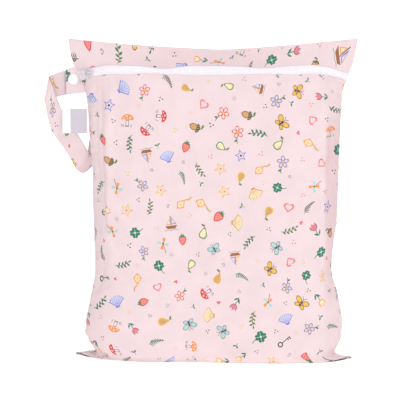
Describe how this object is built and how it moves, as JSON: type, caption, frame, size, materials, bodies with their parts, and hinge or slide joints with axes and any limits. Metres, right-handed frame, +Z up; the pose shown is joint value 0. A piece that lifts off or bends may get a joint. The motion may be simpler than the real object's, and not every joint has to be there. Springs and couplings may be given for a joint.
{
  "type": "cloth diaper wet bag",
  "caption": "Zipped, stuffed cloth pouch that stands on its flattened bottom, with a snap strap at one side and a flat band of cloth above the zip.",
  "frame": {"origin": "on the floor under the middle of the bag, on the flattened bottom", "axes": "+Z up, +X to the right of the zip side, -Y out of the zip side; the strap is at -X"},
  "size_m": [0.3301, 0.0754, 0.3419],
  "materials": {
    "printed_cloth": "smooth woven polyester, pale pink with a small tossed print",
    "zip_tape": "white woven tape",
    "zip_coil": "white nylon coil",
    "slider_metal": "pale enamelled metal",
    "snap_plastic": "white moulded plastic",
    "label_cloth": "white satin tape, bare"
  },
  "bodies": {
    "bag": {"front_panel": "printed_cloth", "back_panel": "printed_cloth", "header_band": "printed_cloth", "zipper_tape": "zip_tape", "zipper_coil": "zip_coil", "zip_slider": "slider_metal", "carry_strap": "printed_cloth", "strap_tab": "printed_cloth", "snap_socket": "snap_plastic", "snap_stud": "snap_plastic", "strap_label": "label_cloth"},
    "zip_pull": {"zip_pull": "slider_metal"}
  },
  "joints": [
    {"name": "pull_swing", "type": "hinge", "parent": "bag", "child": "zip_pull", "pos_m": [-0.13121, -0.01241, 0.30758], "axis": [-0.2293, 0.1696, 0.9585], "range_deg": [0, 170]}
  ]
}
